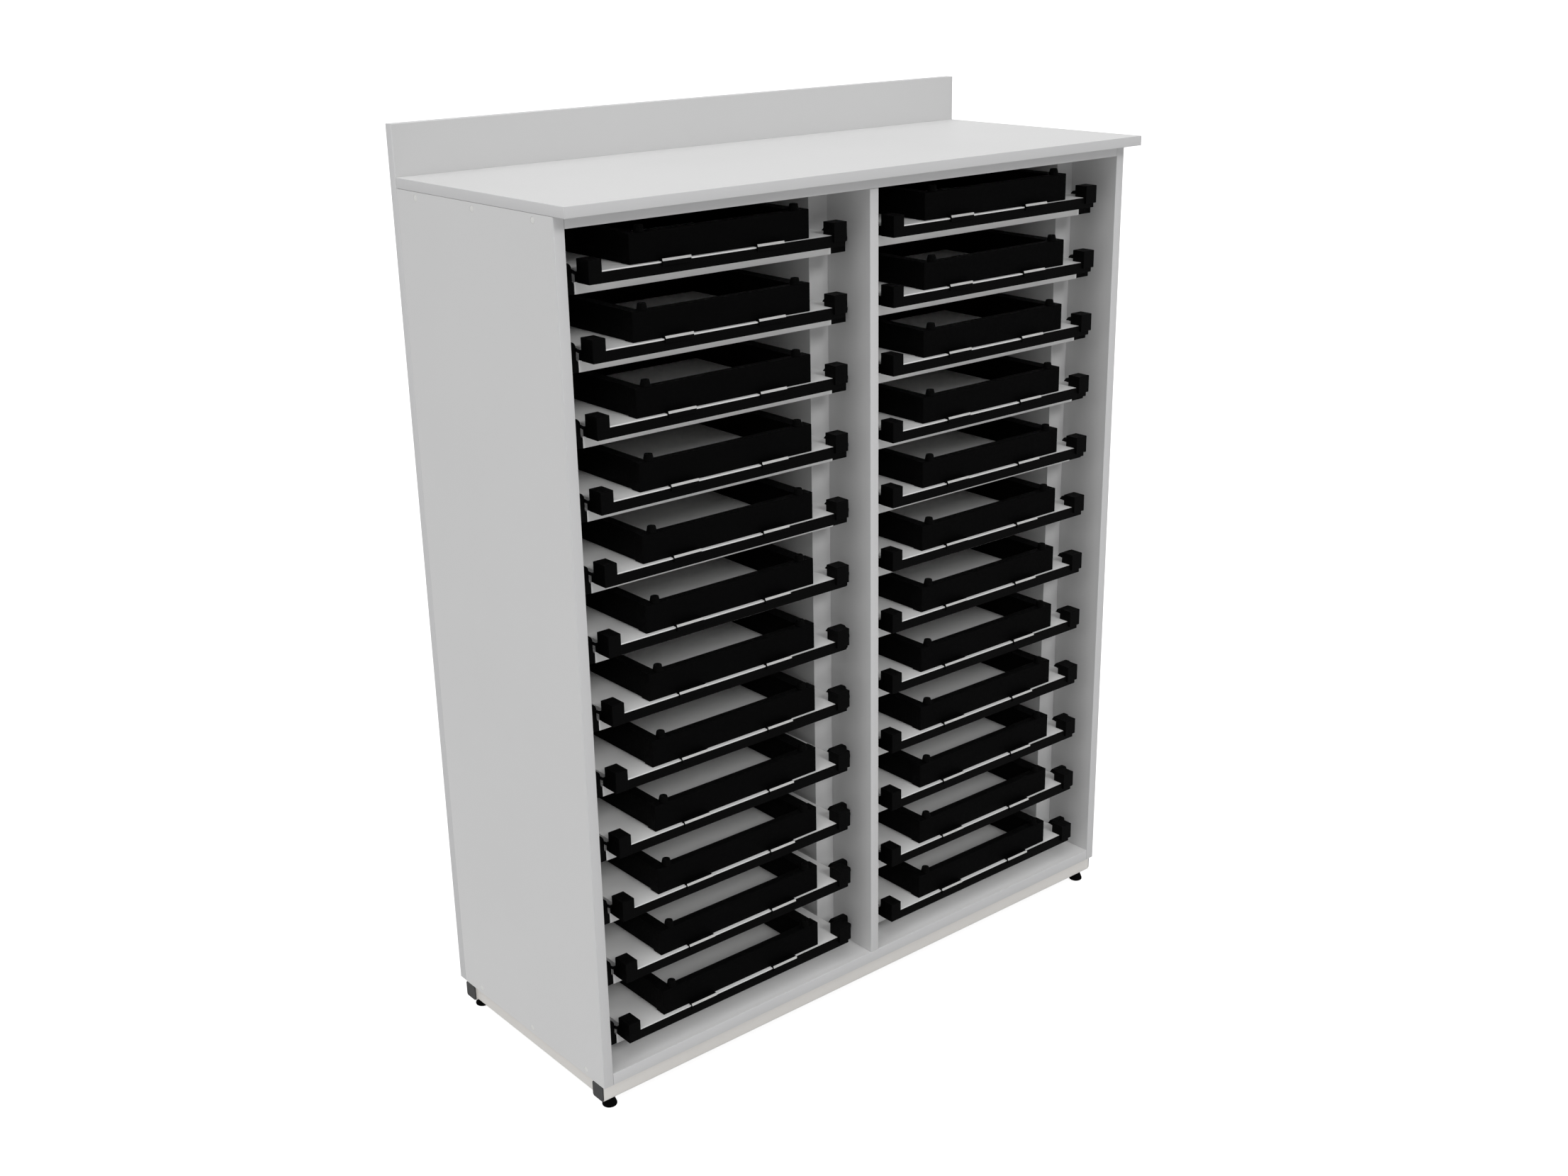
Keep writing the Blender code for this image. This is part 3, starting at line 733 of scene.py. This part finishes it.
rule = {
    "front": -0.0005, "rear": 0.0080, "bottom": -0.0184, "top": -0.0022, "round": 0.0007,
    "ledgeStart": 0.1152, "ledgeDepth": 0.0024, "ledgeTop": -0.0003, "endInset": 0.0030,
}
grip = {
    "middles": (-0.0887, 0.0881), "span": 0.0523, "front": -0.0049, "rear": 0.0050, "drop": 0.0060,
    "rise": 0.0043, "slope": 0.43, "round": 0.0005,
}
lip = {
    "low": 0.0007, "thick": 0.0010, "groove": 0.0012, "grooveEdge": 0.0003, "grooveDeep": 0.0005,
    "round": 0.00025,
}
heads = {
    "inset": 0.0007,
    "left": {"width": 0.0230, "front": -0.0010, "rear": 0.0295, "rise": 0.0168, "lift": 0.0},
    "right": {"width": 0.0268, "front": -0.0040, "rear": 0.0222, "rise": 0.0200, "lift": 0.0078},
    "round": 0.0008, "border": 0.0034, "dish": 0.0007,
}
arm = {"drop": 0.0030, "width": 0.012, "bite": 0.001, "round": 0.0008}
lug = {"width": 0.0057, "depth": 0.0040, "height": 0.0055, "rise": 0.0045}  # left arm, beside its clamp
headOuter = halfBase - heads["inset"]
armSpan = (headOuter - arm["width"], headOuter)
armEnd = board["baseSetback"] - board["clear"]
boardEnds = (("left", -1), ("right", 1))


def makeDrawingPanel():
    panel = boardBlock(
        "drawingPanel", (-halfBoard, halfBoard), (0, board["depth"]), (-board["thickness"], 0)
    )
    clear = board["clear"]
    past = halfBase
    below = (-board["thickness"] - clear, rule["top"] + clear)
    cutAway(panel, boardBlock("rebate", (-past, past), (-clear, rule["rear"] + clear), below))
    along = (rule["ledgeStart"] - clear, past)
    cutAway(panel, boardBlock("step", along, (-clear, rule["ledgeDepth"] + clear), (rule["top"], clear)))
    for side, sign in boardEnds:
        head = heads[side]
        inner = sign * (headOuter - head["width"] - clear)
        under = rule["bottom"] + head["lift"] - clear
        corner = boardBlock("corner", (inner, sign * past), (-clear, head["rear"] + clear), (under, clear))
        cutAway(panel, corner)
        notch = (sign * (armSpan[0] - clear), sign * past)
        cutAway(panel, boardBlock(
            "notch", notch, (head["rear"] - clear, armEnd + clear),
            (-board["thickness"] - clear, -arm["drop"] + clear),
        ))
    return finishAs(soften(panel, board["edgeRound"], steps=2), boardLaminate)


def makeBasePanel():
    panel = boardBlock(
        "basePanel", (-halfBase, halfBase), (board["baseSetback"], board["depth"]),
        (-board["thickness"] - board["baseThickness"], -board["thickness"] - board["clear"]),
    )
    return finishAs(soften(panel, board["edgeRound"], steps=2), boardLaminate)


def makeGrip(middle):
    x = (middle - grip["span"] / 2, middle + grip["span"] / 2)
    front = grip["front"] + lip["thick"] - grip["slope"] * lip["low"] + board["clear"]
    rear = rule["front"] - board["clear"]
    made = boardBlock("grip", x, (front, rear), (-grip["drop"], grip["rise"]))
    openEdit(made)
    bpy.ops.mesh.select_all(action="SELECT")
    seat = onBoard(0, 0, board["clear"])
    bpy.ops.mesh.bisect(plane_co=seat, plane_no=(0, 0, 1))
    pickFaces(made, lambda spot, way: way.y > upright and spot.z > seat.z)
    pushOut(0, grip["rear"] - rear, 0)
    closeEdit()
    edge = onBoard(0, front, grip["rise"])
    openEdit(made, "EDGE")  # the front leans back above the drawing surface
    pickEdges(made, lambda a, b: min(a.z, b.z) > edge.z - hair and max(a.y, b.y) < edge.y + hair)
    bpy.ops.transform.translate(value=(0, grip["slope"] * grip["rise"], 0))
    closeEdit()
    return soften(made, grip["round"])


def makeRule():
    ends = (heads["left"]["width"] / 2 - headOuter, headOuter - rule["endInset"])
    bar = boardBlock("frontRule", ends, (rule["front"], rule["rear"]), (rule["bottom"], rule["top"]))
    ledge = boardBlock(
        "ledge", (rule["ledgeStart"], ends[1]), (rule["front"], rule["ledgeDepth"]),
        (rule["top"] - rule["round"], rule["ledgeTop"]),
    )
    cutAway(bar, ledge, "UNION")
    soften(bar, rule["round"])
    grips = [makeGrip(middle) for middle in grip["middles"]]
    return finishAs(joinUp("frontRule", [bar, *grips]), blackMoulding)


def makeGripLips():
    made = []
    for middle in grip["middles"]:
        strip = boardBlock(
            "gripLip", (middle - grip["span"] / 2, middle + grip["span"] / 2),
            (grip["front"], grip["front"] + lip["thick"]), (lip["low"], grip["rise"]),
        )
        openEdit(strip)
        pickFaces(strip, lambda spot, way: way.z > upright)
        bpy.ops.transform.translate(value=(0, grip["slope"] * (grip["rise"] - lip["low"]), 0))
        half = (lip["low"] + grip["rise"]) / 2
        for height in (half - lip["groove"] / 2, half + lip["groove"] / 2):
            bpy.ops.mesh.select_all(action="SELECT")
            bpy.ops.mesh.bisect(plane_co=onBoard(0, 0, height), plane_no=(0, 0, 1))
        line = onBoard(0, 0, half)
        pickFaces(strip, lambda spot, way: way.y < -leaning and abs(spot.z - line.z) < lip["groove"] / 2)
        bpy.ops.mesh.inset(thickness=lip["grooveEdge"])
        bpy.ops.transform.translate(value=(0, lip["grooveDeep"], 0))
        closeEdit()
        made.append(soften(strip, lip["round"], steps=2))
    return finishAs(joinUp("gripLips", made), gripPlastic)


def makeHeads():
    made = []
    for side, sign in boardEnds:
        head = heads[side]
        outer, inner = sign * headOuter, sign * (headOuter - head["width"])
        under = rule["bottom"] + head["lift"]
        block = boardBlock(
            f"{side}Head", (outer, inner), (head["front"], head["rear"]), (under, head["rise"])
        )
        openEdit(block)
        pickFaces(block, lambda spot, way: way.z > upright)
        bpy.ops.mesh.inset(thickness=heads["border"])
        bpy.ops.transform.translate(value=(0, 0, -heads["dish"]))
        closeEdit()
        made.append(soften(block, heads["round"]))
        link = boardBlock(
            f"{side}Arm", [sign * x for x in armSpan], (head["rear"] - arm["bite"], armEnd),
            (-board["thickness"] + board["clear"], -arm["drop"]),
        )
        made.append(soften(link, arm["round"]))
    top, rear = -arm["drop"] - board["clear"], armEnd - board["clear"]
    ear = boardBlock(
        "armLug", (arm["bite"] - headOuter, -headOuter - lug["width"]), (rear - lug["depth"], rear),
        (top - lug["height"], top),
    )
    openEdit(ear)
    pickFaces(ear, lambda spot, way: way.x < -upright)
    bpy.ops.transform.translate(value=(0, 0, lug["rise"]))
    closeEdit()
    made.append(soften(ear, arm["round"]))
    return finishAs(joinUp("ruleHeads", made), blackMoulding)


clamp = {
    "width": 0.0317, "front": 0.0364, "depth": 0.022, "waist": 0.0026, "shift": 0.003, "flare": 0.0043,
    "round": 0.0008, "lip": 0.0004,
}
crown = {"rise": 0.0104, "round": 0.010, "steps": 10}
hook = {
    "drop": 0.012, "setback": 0.0086, "depth": 0.008, "rise": 0.0046, "reach": 0.0052, "slope": 0.0057,
    "inset": 0.0004, "round": 0.008, "steps": 8, "edge": 0.0006,
}
clampUpper = (halfBase + clamp["shift"], halfBase + clamp["width"] + clamp["flare"])


def makeClampBody(side, sign, top):
    waist = -board["thickness"] - clamp["waist"]
    body = boardBlock(
        f"{side}Clamp", (sign * halfBase, sign * (halfBase + clamp["width"])),
        (clamp["front"], clamp["front"] + clamp["depth"]),
        (clamp["lip"] - board["thickness"] - board["baseThickness"], waist),
    )
    openEdit(body)
    pickFaces(body, lambda spot, way: way.z > upright)
    pushOut(sign * (clamp["shift"] + clamp["flare"]) / 2, 0, clamp["shift"])
    bpy.ops.transform.resize(value=((clampUpper[1] - clampUpper[0]) / clamp["width"], 1, 1))
    pushOut(0, 0, top - waist - clamp["shift"])
    closeEdit()
    return body


def makeHook():
    x = (clampUpper[0] + hook["inset"], clampUpper[1] - hook["inset"])
    front = clamp["front"] + hook["setback"]
    z = (-hook["drop"] - hook["inset"], hook["rise"])
    made = boardBlock("hook", x, (front, front + hook["depth"]), z)
    top, outer = boardOrigin.z + hook["rise"], boardOrigin.x + x[1]
    roundEdges(
        made,
        lambda a, b: min(a.z, b.z) > top - hair and min(a.x, b.x) > outer - hair,
        hook["round"],
        hook["steps"],
    )
    openEdit(made)
    bpy.ops.mesh.select_all(action="SELECT")
    bpy.ops.mesh.bisect(plane_co=boardOrigin, plane_no=(0, 0, 1))
    pickFaces(made, lambda spot, way: way.x < -upright and spot.z > boardOrigin.z)
    pushOut(halfBase - hook["reach"] - x[0], 0, 0)
    closeEdit()
    tip = boardOrigin.x + halfBase - hook["reach"]
    openEdit(made, "EDGE")  # the tip slopes up to the hook's top
    pickEdges(made, lambda a, b: min(a.z, b.z) > top - hair and max(a.x, b.x) < tip + hair)
    bpy.ops.transform.translate(value=(hook["slope"], 0, 0))
    closeEdit()
    return soften(made, hook["edge"])


def makeClamps():
    left = makeClampBody("left", -1, crown["rise"])
    top = boardOrigin.z + crown["rise"]
    roundEdges(
        left,
        lambda a, b: min(a.z, b.z) > top - hair and abs(a.x - b.x) < hair,
        crown["round"],
        crown["steps"],
    )
    right = makeClampBody("right", 1, -hook["drop"])
    pieces = [soften(left, clamp["round"]), soften(right, clamp["round"]), makeHook()]
    return finishAs(joinUp("endClamps", pieces), blackMoulding)


stand = {
    "left": -0.1661, "right": 0.1721, "front": 0.0060, "depth": 0.280, "height": 0.0447, "seat": 0.0003,
    "windowLeft": -0.1456, "windowRight": 0.1455, "endWall": 0.0145, "corner": 0.0012,
    "windowCorner": 0.003, "cornerSteps": 4, "endBlock": 0.0215, "sideStep": 0.0022, "round": 0.0008,
}
bumper = {
    "radius": 0.0084, "height": 0.010, "taper": 0.0021, "places": (-0.1430, 0.1475), "sides": 28,
    "topRound": 0.0005, "dimple": 0.0026, "dimpleDepth": 0.0012,
}
standRear = stand["front"] + stand["depth"]
standTop = stand["seat"] + stand["height"]


def makeStandFrame():
    ring = boardBlock(
        "standFrame", (stand["left"], stand["right"]), (stand["front"], standRear),
        (stand["seat"], standTop),
    )
    roundEdges(ring, runsAlong(2), stand["corner"], stand["cornerSteps"])
    window = boardBlock(
        "window",
        (stand["windowLeft"], stand["windowRight"]),
        (stand["front"] + stand["endWall"], standRear - stand["endWall"]),
        (-stand["height"], 2 * stand["height"]),
    )
    roundEdges(window, runsAlong(2), stand["windowCorner"], stand["cornerSteps"])
    cutAway(ring, window)
    for edge, step in ((stand["left"], stand["sideStep"]), (stand["right"], -stand["sideStep"])):
        cutAway(ring, boardBlock(
            "step", (edge - step, edge + step),
            (stand["front"] + stand["endBlock"], standRear - stand["endBlock"]),
            (-stand["height"], 2 * stand["height"]),
        ))
    return finishAs(soften(ring, stand["round"]), blackFrame)


def makeBumpers():
    rows = (stand["front"] + stand["endWall"] / 2, standRear - stand["endWall"] / 2)
    spots = [onBoard(x, y, standTop + bumper["height"] / 2) for y in rows for x in bumper["places"]]
    first = addRound("frameFeet", spots[0], bumper["radius"], bumper["height"], bumper["sides"])
    openEdit(first)
    pickFaces(first, lambda spot, way: way.z > upright)
    narrow = (bumper["radius"] - bumper["taper"]) / bumper["radius"]
    bpy.ops.transform.resize(value=(narrow, narrow, 1))
    bpy.ops.mesh.inset(thickness=bumper["radius"] - bumper["taper"] - bumper["dimple"])
    pushOut(0, 0, -bumper["dimpleDepth"])
    closeEdit()
    soften(first, bumper["topRound"])
    others = [twin(first, "frameFoot", spot - spots[0]) for spot in spots[1:]]
    return finishAs(joinUp("frameFeet", [first, *others]), blackRubber)


masters = [
    (makeDrawingPanel(), "white_board", "drawing_board"),
    (makeBasePanel(), "white_board", None),
    (makeRule(), "black_plastic", None),
    (makeGripLips(), "white_board", None),
    (makeHeads(), "black_plastic", None),
    (makeClamps(), "black_plastic", None),
    (makeStandFrame(), "black_plastic", "stand_frame"),
    (makeBumpers(), "black_plastic", None),
]
print("first board modelled:", sum(len(piece.data.polygons) for piece, _, _ in masters), "faces")

for bay in "LR":
    for row in rowNames:
        place = f"{bay}{row}"
        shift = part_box(f"drawing_board_{place}")[0] - firstLow
        for piece, slot, node in masters:
            copied = twin(piece, f"{piece.name}_{place}", shift)
            fit(copied, f"board_{place}", slot, *([f"{node}_{place}"] if node else []))
for piece, _, _ in masters:
    bpy.data.objects.remove(piece, do_unlink=True)
print("boards copied into both bays")

# Floor, light and camera
studio = {
    "floor": 160.0, "floorColour": (0.60, 0.60, 0.60), "floorGlow": 0.80, "sky": 0.28,
    "lamps": {
        "overheadSoftbox": {"power": 1.67, "spread": 80.0, "height": 62.0, "bearing": 270.0},
        "frontSoftbox": {"power": 0.81, "spread": 18.0, "height": 35.0, "bearing": 180.0},
        "rearSoftbox": {"power": 0.40, "spread": 60.0, "height": 12.0, "bearing": 45.0},
    },
}


def makeFloor():
    deselectAll()
    bpy.ops.mesh.primitive_plane_add(size=studio["floor"], location=(0, 0, cadBox[0].z))
    floor = settle("floor")
    paint = makeFinish("paleFloor", {
        "colour": studio["floorColour"], "drift": 0.004, "driftScale": 0.6,
        "dustColour": studio["floorColour"], "dust": 0.0, "dustScale": 10,
        "skinScale": 200, "glossy": 0.75, "matt": 0.85, "relief": 0.0001, "bump": 0.05,
        "shine": 0.1,
    })
    tree = paint.node_tree  # the floor is lit from below for the camera alone, as a light table
    path = tree.nodes.new("ShaderNodeLightPath")
    shader = tree.nodes["Principled BSDF"]
    shader.inputs["Emission Strength"].default_value = studio["floorGlow"]
    tree.links.new(path.outputs["Is Camera Ray"], shader.inputs["Emission Color"])
    finishAs(floor, paint)


def makeLight():
    world = bpy.data.worlds.new("softRoom")
    world.use_nodes = True
    sky = world.node_tree.nodes["Background"]
    sky.inputs["Color"].default_value = (1, 1, 1, 1)
    path = world.node_tree.nodes.new("ShaderNodeLightPath")  # the camera sees the room as white
    glow = addMath(world.node_tree, "MAXIMUM", path.outputs["Is Camera Ray"], studio["sky"])
    world.node_tree.links.new(glow, sky.inputs["Strength"])
    bpy.context.scene.world = world
    for name, lamp in studio["lamps"].items():
        sun = bpy.data.lights.new(name, "SUN")
        sun.energy = lamp["power"]
        sun.angle = math.radians(lamp["spread"])
        hung = bpy.data.objects.new(name, sun)
        hung.rotation_euler = (math.radians(90 - lamp["height"]), 0, math.radians(180 - lamp["bearing"]))
        bpy.context.scene.collection.objects.link(hung)


camera = {
    "spot": (-1.95412, -2.33475, 1.80501), "heading": 39.534, "pitch": -19.751, "roll": -1.053,
    "lens": 41.697, "sensor": 36.0,
}


def makeCamera():
    optics = bpy.data.cameras.new("viewCamera")
    optics.lens = camera["lens"]
    optics.sensor_width = camera["sensor"]
    optics.clip_end = 2 * studio["floor"]
    eye = bpy.data.objects.new("viewCamera", optics)
    turn = Euler((math.radians(90 + camera["pitch"]), 0, math.radians(-camera["heading"]))).to_matrix()
    roll = Matrix.Rotation(math.radians(camera["roll"]), 3, "Z")
    eye.matrix_world = Matrix.Translation(camera["spot"]) @ (turn @ roll).to_4x4()
    bpy.context.scene.collection.objects.link(eye)
    bpy.context.scene.camera = eye


makeFloor()
makeLight()
makeCamera()
bpy.context.scene.view_settings.view_transform = "Standard"
print("studio ready")
